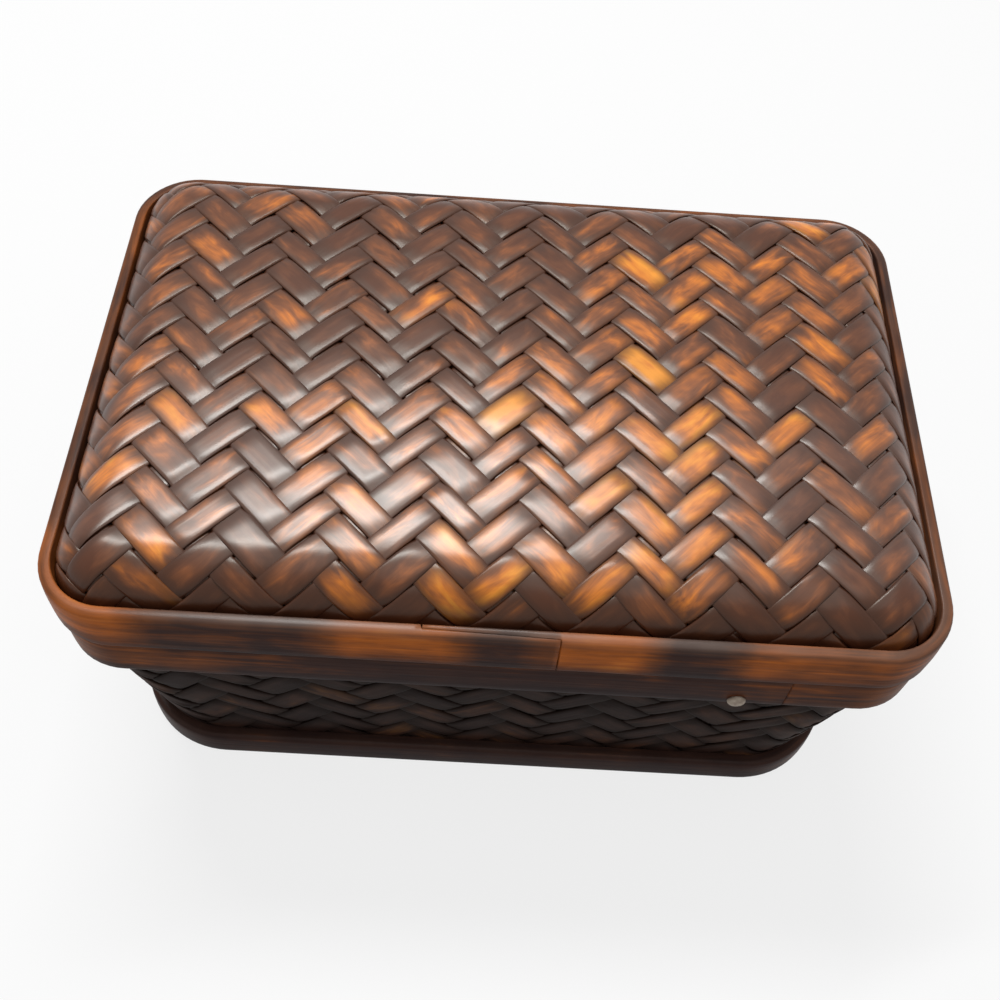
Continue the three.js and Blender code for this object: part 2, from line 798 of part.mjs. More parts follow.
const trinketBox = new THREE.Group();
trinketBox.add(base, lid);

export default trinketBox;
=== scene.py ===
import math
import bpy
import numpy as np
from mathutils import Matrix, Vector


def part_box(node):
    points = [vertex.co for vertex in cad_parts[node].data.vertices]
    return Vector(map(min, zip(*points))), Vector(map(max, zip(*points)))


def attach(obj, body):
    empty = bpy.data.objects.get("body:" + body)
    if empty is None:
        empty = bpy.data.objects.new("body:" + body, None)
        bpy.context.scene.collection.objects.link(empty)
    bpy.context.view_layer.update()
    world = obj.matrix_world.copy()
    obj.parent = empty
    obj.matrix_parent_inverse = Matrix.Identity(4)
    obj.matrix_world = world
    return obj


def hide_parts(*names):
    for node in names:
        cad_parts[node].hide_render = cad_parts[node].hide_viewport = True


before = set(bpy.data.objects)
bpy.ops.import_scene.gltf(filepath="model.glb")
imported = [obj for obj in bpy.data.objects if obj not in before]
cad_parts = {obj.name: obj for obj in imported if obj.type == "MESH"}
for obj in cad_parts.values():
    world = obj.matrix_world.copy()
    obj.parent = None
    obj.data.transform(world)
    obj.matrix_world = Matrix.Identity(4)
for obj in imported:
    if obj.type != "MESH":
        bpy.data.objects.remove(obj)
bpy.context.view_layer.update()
print("frame loaded")

# Sizes in metres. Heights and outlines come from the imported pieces; these are the ones a box can't tell.
boxForm = {
    "lidCorner": 0.012,
    "footCorner": 0.018,
    "seatGap": 0.0003,
    "matThick": 0.0015,
    "linerThick": 0.0012,
    "wallLeanEnds": 0.0025,
    "pillowRun": 0.0095,
    "pillowRise": 0.009,
    "pillowCrown": 0.0015,
    "skirtAboveHoop": 0.003,
}

lidHoopLow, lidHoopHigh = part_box("lid_outer_hoop")
rimHoopLow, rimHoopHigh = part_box("base_rim_hoop")
footHoopLow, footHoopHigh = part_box("base_foot_hoop")
footLedgeLow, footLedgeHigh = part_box("base_foot_ledge")
innerHoopLow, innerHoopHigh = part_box("lid_inner_hoop")
collarLow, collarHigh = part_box("base_collar")
trayLow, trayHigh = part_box("base_liner")
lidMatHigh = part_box("lid_weave")[1]
wallMatLow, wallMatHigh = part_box("base_wall_weave")
floorMatLow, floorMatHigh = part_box("base_floor_weave")
pinLow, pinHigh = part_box("rim_hoop_pin")


# Outlines

# A rounded rectangle inside the lid hoop's outer face, given by the half width that the piece has
def lidOutline(halfX):
    inset = lidHoopHigh.x - halfX
    return {
        "halfX": halfX,
        "halfY": lidHoopHigh.y - inset,
        "radius": np.maximum(boxForm["lidCorner"] - inset, 0),
    }


# The same at the foot, where the corners are rounder
def footOutline(halfX):
    inset = footHoopHigh.x - halfX
    return {
        "halfX": halfX,
        "halfY": footHoopHigh.y - inset,
        "radius": boxForm["footCorner"] - inset,
    }


# The wall's outline at a height: lid corners above the rim, foot corners below the foot hoop's top, and a
# straight blend between them. depth goes inwards from the mat's outer face.
def wallOutline(z, depth):
    share = np.clip((rimHoopLow.z - z) / (rimHoopLow.z - footHoopHigh.z), 0, 1)
    top = lidOutline(wallMatHigh.x - depth)
    foot = footOutline(wallMatHigh.x - boxForm["wallLeanEnds"] - depth)
    return {key: top[key] + (foot[key] - top[key]) * share for key in top}


# Four times the straight half sides, and a whole circle for the four corners
def lengthAround(outline):
    straight = outline["halfX"] + outline["halfY"] - 2 * outline["radius"]
    return 4 * straight + 2 * math.pi * outline["radius"]


# Walks an outline anticlockwise from the middle of its front. At a distance, the walk is how many straight
# sides have been passed and how many quarter turns have been made, both with their fractions.
def walkRound(outline, distance):
    sideX = outline["halfX"] - outline["radius"]
    sideY = outline["halfY"] - outline["radius"]
    arc = outline["radius"] * math.pi / 2
    steps = [0, sideX, arc, 2 * sideY, arc, 2 * sideX, arc, 2 * sideY, arc, sideX]
    knots = np.cumsum(steps)
    around = np.mod(distance, knots[-1])
    sides = np.interp(around, knots, [0, 1, 1, 2, 2, 3, 3, 4, 4, 5])
    turns = np.interp(around, knots, [0, 0, 1, 1, 2, 2, 3, 3, 4, 4])
    return sides, turns


# The point at a walk: the inner rectangle's point plus the radius times the outward direction, whose angle
# is a quarter turn for each turn made, starting from straight forward
def outlinePoint(outline, walk):
    sides, turns = walk
    sideX = outline["halfX"] - outline["radius"]
    sideY = outline["halfY"] - outline["radius"]
    angle = (turns - 1) * math.pi / 2
    outX, outY = np.cos(angle), np.sin(angle)
    x = np.interp(sides, range(6), [0, 1, 1, -1, -1, 0]) * sideX + outline["radius"] * outX
    y = np.interp(sides, range(6), [-1, -1, 1, 1, -1, -1]) * sideY + outline["radius"] * outY
    return x, y, outX, outY


# Walks with even steps on the sides and on the corners, for pieces that go once round
def evenWalk(sideSteps, cornerSteps):
    side = np.arange(sideSteps) / sideSteps
    turn = np.arange(cornerSteps) / cornerSteps
    sides, turns = [], []
    for quarter in range(5):
        sides += [quarter + side] + [np.full(cornerSteps, quarter + 1)] * (quarter < 4)
        turns += [np.full(sideSteps, quarter)] + [quarter + turn] * (quarter < 4)
    return np.concatenate(sides), np.concatenate(turns)


# Meshes

finishes = {}  # the material of each slot


# Makes an object of a mesh given as arrays: points, blocks of faces as lists of point numbers, and
# attributes with a value or a vector for each point
def makePiece(name, points, faces, attributes, body, slot, nodes):
    mesh = bpy.data.meshes.new(name)
    points = np.asarray(points, np.float32).reshape(-1, 3)
    sizes = np.concatenate([np.full(len(block), block.shape[1]) for block in faces])
    corners = np.concatenate([block.ravel() for block in faces]).astype(np.int32)
    starts = np.concatenate([[0], np.cumsum(sizes)[:-1]]).astype(np.int32)
    mesh.vertices.add(len(points))
    mesh.vertices.foreach_set("co", points.ravel())
    mesh.loops.add(len(corners))
    mesh.loops.foreach_set("vertex_index", corners)
    mesh.polygons.add(len(sizes))
    mesh.polygons.foreach_set("loop_start", starts)
    mesh.update(calc_edges=True)
    mesh.validate()
    mesh.polygons.foreach_set("use_smooth", np.ones(len(mesh.polygons), bool))
    for key, values in attributes.items():
        values = np.asarray(values, np.float32)
        kind = "FLOAT" if values.size == len(points) else "FLOAT_VECTOR"
        field = "value" if kind == "FLOAT" else "vector"
        mesh.attributes.new(key, kind, "POINT").data.foreach_set(field, values.ravel())
    mesh.materials.append(finishes[slot])
    piece = bpy.data.objects.new(name, mesh)
    bpy.context.scene.collection.objects.link(piece)
    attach(piece, body)
    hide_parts(*nodes)
    print("made", name, len(points), "points")


# Quads between neighbouring rows and columns of a grid of points, numbered row by row
def gridFaces(rows, columns, closedRows, closedColumns):
    row = np.arange(rows if closedRows else rows - 1)[:, None]
    column = np.arange(columns if closedColumns else columns - 1)[None, :]
    nextRow, nextColumn = (row + 1) % rows, (column + 1) % columns
    quad = [
        row * columns + column, nextRow * columns + column,
        nextRow * columns + nextColumn, row * columns + nextColumn,
    ]
    return np.stack(np.broadcast_arrays(*quad), -1).reshape(-1, 4)


# The two faces that close such a grid at its first and last row
def endFaces(rows, columns):
    ring = np.arange(columns)[None, :]
    return np.concatenate([ring, ring[:, ::-1] + (rows - 1) * columns])


# Weaving

twillRepeat = 4  # cells after which the weave comes again: over two and under two

# Section of a split bamboo strip as shares of its half width and half thickness: flat below, with round
# edges and a very gentle crown above
stripSection = {
    "across": np.array([-0.94, -1.0, -0.96, -0.82, -0.4, 0.4, 0.82, 0.96, 1.0, 0.94]),
    "up": np.array([-1.0, -0.2, 0.4, 0.82, 1.0, 1.0, 0.82, 0.4, -0.2, -1.0]),
}

# Slow drift of the tone over a mat: waves in radians per metre with their starts
driftWaves = {"alongX": (61, 0.7), "alongY": (83, 1.9), "slanting": (23, -37, 0.4)}


# Height of a strip in its mat, from 1 on top to -1 underneath: a cosine with the period of the twill, made
# flatter at its top and bottom by a hyperbolic tangent
def weaveWave(cells, stiffness):
    return np.tanh(stiffness * np.cos(cells * 2 * math.pi / twillRepeat)) / math.tanh(stiffness)


# Column and row of a place on the lattice, from its count across a family and its distance along it.
# Column is the sum of the two families' counts, and row is their difference.
def latticePlace(falling, side, along):
    return side + along, side - along if falling else along - side


# Cells from the start of a repeat to the middle of the stretch that lies on top
def stretchStart(falling):
    return 1 if falling else twillRepeat - 1


# Each strip's value for each of its stretches, out of a table with a row for every strip
def forStretch(table, stretch):
    strip = np.arange(len(table))[:, None, None]
    return table[strip, (stretch + table.shape[1] // 2).astype(int)]


# Faces of a family's strips, numbered strip by strip: their long sides and their two ends. The rising
# family is turned the other way, so that all of them face outwards.
def stripFaces(count, steps, around, falling):
    sides, ends = gridFaces(steps, around, False, True), endFaces(steps, around)
    if not falling:
        sides, ends = sides[:, ::-1], ends[:, ::-1]
    base = (np.arange(count) * steps * around)[:, None, None]
    return [(base + sides[None]).reshape(-1, 4), (base + ends[None]).reshape(-1, around)]


# One family of strips as closed bands, each point at a place across the family and a distance along it in
# cells. The band follows the weave's wave. flat lays column and row out in metres, place puts that and the
# depth on the real surface, and span gives where a line starts and ends. Edge is 1 in a strip's middle and
# 0 at its sides, top is 1 in the middle of a visible stretch and below 0 where the strip dives, and polish
# is how glossy handling has made the place.
def weaveFamily(weave, falling, strips, span, flat, place):
    random = np.random.default_rng(weave["seed"] + falling)
    count, steps = len(strips), weave["steps"]
    shift = random.normal(0, weave["shiftJitter"], count)[:, None, None]
    widthShare = weave["widthShare"] * (1 + random.normal(0, weave["widthJitter"], count))[:, None, None]
    swayPhase = random.uniform(0, 2 * math.pi, count)[:, None, None]
    number = strips[:, None, None]
    across = stripSection["across"][None, None, :]
    middle = number + 0.5 + shift
    start, end = span(falling, middle + across * widthShare / 2)
    along = start + (end - start) * np.linspace(0, 1, steps)[None, :, None]
    sway = weave["sway"] * np.sin(along * weave["swayTurns"] + swayPhase)
    side = middle + sway + across * widthShare / 2
    top = along + number - stretchStart(falling)
    wave = weaveWave(top, weave["stiffness"])
    stretch = np.round(top / twillRepeat)
    lift = random.normal(0, weave["liftJitter"], (count, weave["mostStretches"]))
    halfStrip = weave["stripThick"] / 2
    depth = halfStrip + (1 - wave) * weave["relief"] - halfStrip * stripSection["up"][None, None, :]
    depth = np.maximum(depth - forStretch(lift, stretch) * (wave > 0) * wave, 0)
    points = np.stack(place(*flat(*latticePlace(falling, side, along)), depth), -1)
    tone = stretchTone(weave, falling, number, stretch, flat, random)
    offset = random.uniform(0, twillRepeat, count)[:, None, None]
    shape = points.shape[:3]
    grain = np.stack([
        np.broadcast_to((along + offset) * weave["pitch"], shape),
        np.broadcast_to(across * widthShare * weave["pitch"] / 2, shape),
        np.broadcast_to(number * weave["grainStep"], shape),
    ], -1)
    height = points[..., 2]
    # On the lid the strips' edge value falls near the hoop, so they darken there: painted shade in the
    # groove between the pillow and the hoop
    groove = np.interp(height, weave["grooveHeights"], weave["groove"])
    polish = np.interp(height, weave["polishHeights"], weave["polish"])
    handled = np.interp(points[..., 1], weave["handledDepths"], weave["handled"])
    attributes = {
        "grain": grain.reshape(-1, 3),
        "tone": np.broadcast_to(tone, shape).ravel(),
        "edge": ((1 - np.abs(across)) * groove).ravel(),
        "top": np.broadcast_to(1 - np.abs(top - twillRepeat * stretch), shape).ravel(),
        "polish": (polish * handled).ravel(),
    }
    return points, stripFaces(count, steps, shape[2], falling), attributes


# Tone of every visible stretch, from 0, dark, to 1, amber: a chance value of its own, one of its strip, a
# slow drift over the mat, and the amber or dark places listed in millimetres, each a round hill or dip
# with its reach and height
def stretchTone(weave, falling, number, stretch, flat, random):
    own = forStretch(random.uniform(-1, 1, (len(number), weave["mostStretches"])), stretch)
    strip = random.normal(0, 1, len(number))[:, None, None]
    along = twillRepeat * stretch - number + stretchStart(falling)
    x, y = flat(*latticePlace(falling, number + 0.5, along))
    (wavesX, startX), (wavesY, startY) = driftWaves["alongX"], driftWaves["alongY"]
    slantX, slantY, slantStart = driftWaves["slanting"]
    drift = np.sin(x * wavesX + startX) * np.sin(y * wavesY + startY)
    drift = drift + np.sin(x * slantX + y * slantY + slantStart)
    tone = weave["toneMiddle"] + weave["toneSpread"] * own + weave["toneStrip"] * strip
    tone = tone + weave["toneDrift"] * drift
    for reach, gain, places in weave["spots"]:
        for spotX, spotY in places:
            distance = ((x - spotX / 1000) ** 2 + (y - spotY / 1000) ** 2) / reach ** 2
            tone = tone + gain * np.exp(-distance)
    return np.clip(tone, 0, 1)


# Strips are never quite alike: the edge between two strips lies off its even place by a chance share of
# the pitch. The same table serves both families, so that they still cross where their edges meet.
def unevenEdges(weave):
    edges = np.arange(-weave["mostEdges"], weave["mostEdges"] + 1)
    shifts = np.random.default_rng(weave["seed"]).normal(0, weave["edgeJitter"], (2, len(edges)))
    return edges, edges + shifts


# Column and row after each family's count has been moved to its uneven place
def unevenly(edges, column, row):
    even, (first, second) = edges
    total = np.interp((column + row) / 2, even, first)
    difference = np.interp((column - row) / 2, even, second)
    return total + difference, total - difference


# Where lines across a family start and end along it, found on a fine row of samples
def spanBySamples(weave, flat, inside):
    samples = np.linspace(-weave["reach"], weave["reach"], weave["samples"])

    def span(falling, side):
        found = inside(*flat(*latticePlace(falling, side[..., None], samples)))
        first = samples[np.argmax(found, -1)]
        last = samples[len(samples) - 1 - np.argmax(found[..., ::-1], -1)]
        met = np.any(found, -1)
        return np.where(met, first, 0), np.where(met, last, 0)
    return span


# Strips that run for more than a cell inside the mat at their middle and just inside both edges
def stripsInside(weave, falling, numbers, span):
    margin = weave["edgeMargin"]
    start, end = span(falling, numbers[:, None] + np.array([margin, 0.5, 1 - margin]))
    return numbers[np.all(end - start > 1, -1)]


# Makes both families of a mat, out of the numbers of the strips that there may be
def makeMat(name, weave, numbers, span, flat, place, body, slot, nodes):
    for falling, family in [(True, "falling"), (False, "rising")]:
        strips = stripsInside(weave, falling, numbers, span)
        points, faces, attributes = weaveFamily(weave, falling, strips, span, flat, place)
        makePiece(f"{name}_{family}", points, faces, attributes, body, slot, nodes)


# The lid's pillow

pillowStart = lidHoopHigh.z - boxForm["skirtAboveHoop"]
pillowTop = pillowStart + boxForm["pillowRise"]
pillowOutline = lidOutline(lidMatHigh.x)
coreRadius = max(pillowOutline["radius"] - boxForm["pillowRun"], 0)
coreX = pillowOutline["halfX"] - boxForm["pillowRun"] - coreRadius
coreY = pillowOutline["halfY"] - boxForm["pillowRun"] - coreRadius

# Distance along the pillow's rounded edge, a quarter of an ellipse, as a table against the angle on it
edgeTableSize = 201
edgeAngles = np.linspace(0, math.pi / 2, edgeTableSize)
edgeSteps = np.hypot(
    boxForm["pillowRun"] * np.cos(edgeAngles),
    boxForm["pillowRise"] * np.sin(edgeAngles),
)
edgeLengths = np.concatenate([
    [0], np.cumsum((edgeSteps[1:] + edgeSteps[:-1]) / 2 * (edgeAngles[1] - edgeAngles[0])),
])
edgeLength = edgeLengths[-1]
leastSpan = 1e-9  # keeps a division from zero


# How far out and down the edge has gone at an angle, at a depth under it along the ellipse's normal
def edgePlace(angle, depth):
    normalX = np.sin(angle) / boxForm["pillowRun"]
    normalZ = np.cos(angle) / boxForm["pillowRise"]
    size = np.hypot(normalX, normalZ)
    out = boxForm["pillowRun"] * np.sin(angle) - depth * normalX / size
    down = boxForm["pillowRise"] * (1 - np.cos(angle)) + depth * normalZ / size
    return out, down


# The crown lifts the middle by the product of two parabolas that fade at the edges
def crownLift(x, y):
    fadeX = np.maximum(1 - (x / pillowOutline["halfX"]) ** 2, 0)
    fadeY = np.maximum(1 - (y / pillowOutline["halfY"]) ** 2, 0)
    return boxForm["pillowCrown"] * fadeX * fadeY


# The nearest point of the core's inner rectangle, how far it is, and how far the place is past the core
def pastCore(x, y):
    nearX, nearY = np.clip(x, -coreX, coreX), np.clip(y, -coreY, coreY)
    span = np.hypot(x - nearX, y - nearY)
    return nearX, nearY, span, span - coreRadius


# Wraps the flat mat over the pillow. Inside the core a point stays where it is; past it, the distance runs
# along the ellipse and then straight down, in the direction away from the core.
def onPillow(x, y, depth):
    nearX, nearY, span, distance = pastCore(x, y)
    angle = np.interp(distance, edgeLengths, edgeAngles)
    out, down = edgePlace(angle, depth)
    out = np.where(distance > 0, out, distance)
    down = np.where(distance > 0, down + np.maximum(distance - edgeLength, 0), depth)
    turn = (coreRadius + out) / np.maximum(span, leastSpan)
    wrappedX = np.where(span > 0, nearX + (x - nearX) * turn, x)
    wrappedY = np.where(span > 0, nearY + (y - nearY) * turn, y)
    return wrappedX, wrappedY, pillowTop - down + crownLift(wrappedX, wrappedY)


# Materials

# A socket that can be written in sums: numbers go through Math nodes
class Wire:
    def __init__(self, tree, socket=None):
        self.tree = tree
        self.socket = socket

    # Adds a node: its settings first, then the values or links of its sockets
    def add(self, kind, settings=None, inputs=None, output=0):
        node = self.tree.nodes.new(kind)
        for key, value in (settings or {}).items():
            if key == "stops":
                setStops(node.color_ramp, value)
            else:
                setattr(node, key, value)
        for key, value in (inputs or {}).items():
            if isinstance(value, Wire):
                self.tree.links.new(value.socket, node.inputs[key])
            else:
                node.inputs[key].default_value = value
        return Wire(self.tree, node.outputs[output])

    def math(self, operation, first, second):
        return self.add("ShaderNodeMath", {"operation": operation}, {0: first, 1: second})

    def __add__(self, other):
        return self.math("ADD", self, other)

    def __radd__(self, other):
        return self.math("ADD", other, self)

    def __sub__(self, other):
        return self.math("SUBTRACT", self, other)

    def __rsub__(self, other):
        return self.math("SUBTRACT", other, self)

    def __mul__(self, other):
        return self.math("MULTIPLY", self, other)

    def __rmul__(self, other):
        return self.math("MULTIPLY", other, self)


# Gives a colour ramp its stops, as places and colours
def setStops(ramp, stops):
    while len(ramp.elements) > 1:
        ramp.elements.remove(ramp.elements[-1])
    for index, (place, colour) in enumerate(stops):
        element = ramp.elements[0] if index == 0 else ramp.elements.new(place)
        element.position = place
        element.color = (*colour, 1)


# Starts a material and gives its wire and its main shader node
def newMaterial(name, constants):
    material = bpy.data.materials.new(name)
    material.use_nodes = True
    tree = material.node_tree
    shader = tree.nodes["Principled BSDF"]
    for key, value in constants.items():
        shader.inputs[key].default_value = value
    return material, Wire(tree), shader


# Links a wire to one of the shader's sockets
def feed(shader, key, wire):
    wire.tree.links.new(wire.socket, shader.inputs[key])


# Reads a mesh attribute, its number from the output Fac and its vector from Vector
def attribute(wire, name, output="Fac"):
    return wire.add("ShaderNodeAttribute", {"attribute_name": name}, output=output)


# Noise on a place that is scaled by its own number on each axis
def noise(wire, place, scales, detail, roughness=0.5, distortion=0):
    scaled = wire.add("ShaderNodeVectorMath", {"operation": "MULTIPLY"}, {0: place, 1: scales})
    return wire.add("ShaderNodeTexNoise", {}, {
        "Vector": scaled, "Scale": 1, "Detail": detail, "Roughness": roughness, "Distortion": distortion,
    })


def ramp(wire, factor, stops):
    return wire.add("ShaderNodeValToRGB", {"stops": stops}, {"Fac": factor})


# Goes smoothly from one value to the other while the input goes from low to high
def remap(wire, value, low, high, toLow, toHigh):
    return wire.add(
        "ShaderNodeMapRange", {"interpolation_type": "SMOOTHSTEP"},
        {"Value": value, "From Min": low, "From Max": high, "To Min": toLow, "To Max": toHigh},
    )


# Sockets 0, 6 and 7 of the Mix node are its factor and two colours, and output 2 is their mix
def mixColour(wire, factor, first, second):
    return wire.add("ShaderNodeMix", {"data_type": "RGBA"}, {0: factor, 6: first, 7: second}, output=2)


def bump(wire, height, strength, distance):
    return wire.add(
        "ShaderNodeBump", {}, {"Height": height, "Strength": strength, "Distance": distance})


# Detail, roughness and distortion of each noise in smoked bamboo
bambooNoise = {
    "flames": (3, 0.55, 0.6),
    "clouds": (2, 0.5, 0),
    "fibres": (4, 0.7, 0),
    "ridges": (1, 0.5, 0),
}


# Smoked and lacquered bamboo. The tone of the strip plus the noises picks a colour from dark to amber. The
# ends and edges of a visible stretch are darker and duller: pooled lacquer, and painted shade where the
# strips dip into the weave and, on the hoops, along the seam below. Polish is a clear coat on top, a
# little less of it there, and on the hoops it also turns the colour pale at the upper edge, a painted
# highlight.
def smokedBamboo(name, look):
    material, wire, shader = newMaterial(name, {
        "Specular IOR Level": look["specular"],
        "Specular Tint": (*look["sheenTint"], 1),
        "Coat Roughness": look["polishRoughness"],
    })
    grain = attribute(wire, "grain", "Vector")
    smoke = {key: noise(wire, grain, look["scales"][key], *form) for key, form in bambooNoise.items()}
    level = attribute(wire, "tone")
    for key, gain in look["gains"].items():
        level = level + (smoke[key] - 0.5) * gain
    edge = attribute(wire, "edge") + (smoke["clouds"] - 0.5) * look["edgeWander"]
    besideEdge = remap(wire, edge, 0, look["edgeReach"], look["edgeDark"], 1)
    top = attribute(wire, "top") + (smoke["flames"] - 0.5) * look["endWander"]
    awayFromEnd = remap(wire, top, *look["endReach"], look["endDark"], 1)
    clear = besideEdge * awayFromEnd
    # The dark colour mixed in at edges and ends is pooled lacquer and painted shade in the weave's
    # recesses and along the hoops' seams
    colour = mixColour(wire, clear, (*look["pooled"], 1), ramp(wire, level, look["stops"]))
    polish = attribute(wire, "polish")
    # The pale colour at the hoops' upper edge is a painted highlight
    rubbed = polish * look["rubbedShare"] * remap(wire, smoke["clouds"], *look["rubbedPatches"])
    feed(shader, "Base Color", mixColour(wire, rubbed, colour, (*look["rubbed"], 1)))
    feed(shader, "Coat Weight", polish * (clear * (1 - look["pooledPolish"]) + look["pooledPolish"]))
    roughness = (smoke["fibres"] - 0.5) * look["roughnessSpread"] + look["roughness"]
    feed(shader, "Roughness", roughness + (1 - clear) * look["dullEnds"])
    relief = smoke["fibres"] * look["fibreRelief"] + smoke["ridges"]
    feed(shader, "Normal", bump(wire, relief, look["bump"], look["bumpDepth"]))
    return material


lidLook = {
    "specular": 0.28, "sheenTint": (0.90, 0.88, 0.76),
    "scales": {
        "flames": (110, 330, 10), "clouds": (170, 170, 10),
        "fibres": (160, 3600, 10), "ridges": (25, 900, 10),
    },
    "gains": {"flames": 1.4, "clouds": 0.6, "fibres": 0.25, "ridges": 0.25},
    "stops": [
        (0.0, (0.086, 0.024, 0.009)), (0.25, (0.143, 0.045, 0.017)), (0.45, (0.26, 0.081, 0.025)),
        (0.62, (0.50, 0.148, 0.028)), (0.8, (0.74, 0.225, 0.026)), (1.0, (0.88, 0.33, 0.034)),
    ],
    # The dark colour for edges and ends is pooled lacquer and painted shade; the pale colour for hoop
    # edges is a painted highlight
    "pooled": (0.048, 0.016, 0.008), "pooledPolish": 0.75, "polishRoughness": 0.29,
    "rubbed": (0.13, 0.095, 0.075), "rubbedShare": 0, "rubbedPatches": (0.3, 0.7, 0.6, 1),
    "edgeReach": 0.8, "edgeWander": 0.3, "edgeDark": 0.15,
    "endReach": (-0.1, 0.65), "endWander": 0.5, "endDark": 0.15,
    "roughness": 0.29, "roughnessSpread": 0.1, "dullEnds": 0.08,
    "fibreRelief": 0.4, "bump": 0.4, "bumpDepth": 0.0001,
}
wallLook = {
    **lidLook,
    # The wall's dark colour at edges and ends is pooled lacquer and painted shade
    "specular": 0.02, "roughness": 0.5, "pooled": (0.010, 0.006, 0.005),
    "stops": [
        (0.0, (0.015, 0.007, 0.006)), (0.5, (0.030, 0.014, 0.010)), (0.8, (0.052, 0.022, 0.013)),
        (1.0, (0.09, 0.038, 0.014)),
    ],
}
hoopLook = {
    **lidLook,
    # The hoops' dark colour at the lower edge is pooled lacquer and painted shade; their upper edge gets
    # the painted highlight
    "specular": 0.02, "roughness": 0.35, "pooled": (0.014, 0.007, 0.008), "edgeReach": 0.9,
    "polishRoughness": 0.35, "rubbedShare": 1.3,
    "scales": {
        "flames": (70, 500, 500), "clouds": (110, 110, 110),
        "fibres": (60, 2400, 2400), "ridges": (20, 1100, 1100),
    },
    "gains": {"flames": 0.55, "clouds": 0.35, "fibres": 0.2, "ridges": 0.3},
    "stops": [
        (0.0, (0.018, 0.009, 0.010)), (0.3, (0.045, 0.018, 0.013)), (0.5, (0.15, 0.045, 0.013)),
        (0.75, (0.42, 0.11, 0.016)), (1.0, (0.66, 0.21, 0.03)),
    ],
}
plainLook = {
    "specular": 0.3, "roughness": 0.75, "fibreShine": 0.25,
    "fibreScales": (40, 1800, 1800), "fibreDetail": 4, "fibreRoughness": 0.65, "fibreShare": 0.5,
    "bandScales": (6, 160, 160), "bandDetail": 2, "bump": 0.4, "bumpDepth": 0.0003,
    "stops": [(0.3, (0.11, 0.05, 0.022)), (0.5, (0.20, 0.10, 0.045)), (0.7, (0.30, 0.165, 0.075))],
}
pegLook = {
    "specular": 0.35, "roughness": 0.5, "roughnessSpread": 0.2,
    "scales": (900, 900, 900), "detail": 3,
    "stops": [(0.3, (0.24, 0.18, 0.135)), (0.7, (0.48, 0.40, 0.32))],
}


# Plain bamboo of the inner strips and liners: pale brown with fine long fibres and soft wide bands
def plainBamboo(name, look):
    material, wire, shader = newMaterial(name, {"Specular IOR Level": look["specular"]})
    grain = attribute(wire, "grain", "Vector")
    fibres = noise(wire, grain, look["fibreScales"], look["fibreDetail"], look["fibreRoughness"])
    bands = noise(wire, grain, look["bandScales"], look["bandDetail"])
    level = fibres * look["fibreShare"] + bands * (1 - look["fibreShare"])
    feed(shader, "Base Color", ramp(wire, level, look["stops"]))
    feed(shader, "Roughness", look["roughness"] - fibres * look["fibreShine"])
    feed(shader, "Normal", bump(wire, fibres, look["bump"], look["bumpDepth"]))
    return material


# Pale peg: bone colour, with a faint mottle
def palePeg(name, look):
    material, wire, shader = newMaterial(name, {"Specular IOR Level": look["specular"]})
    mottle = noise(wire, attribute(wire, "grain", "Vector"), look["scales"], look["detail"])
    feed(shader, "Base Color", ramp(wire, mottle, look["stops"]))
    feed(shader, "Roughness", mottle * look["roughnessSpread"] + look["roughness"])
    return material


for slot, makeFinish, look in [
    ("tortoiseshell_bamboo", smokedBamboo, lidLook),
    ("dark_bamboo", smokedBamboo, wallLook),
    ("hoop_bamboo", smokedBamboo, hoopLook),
    ("plain_bamboo", plainBamboo, plainLook),
    ("pale_peg", palePeg, pegLook),
]:
    finishes[slot] = makeFinish(slot, look)
print("materials made")

# Lid mat. Edge, width and shift jitters, sway and margin are shares of the pitch, and reach is in cells.
# Polish, and the painted shade in the groove next to the hoop, go from their first value to their second
# between two heights, and handled is the share of the polish left at places from front to back.

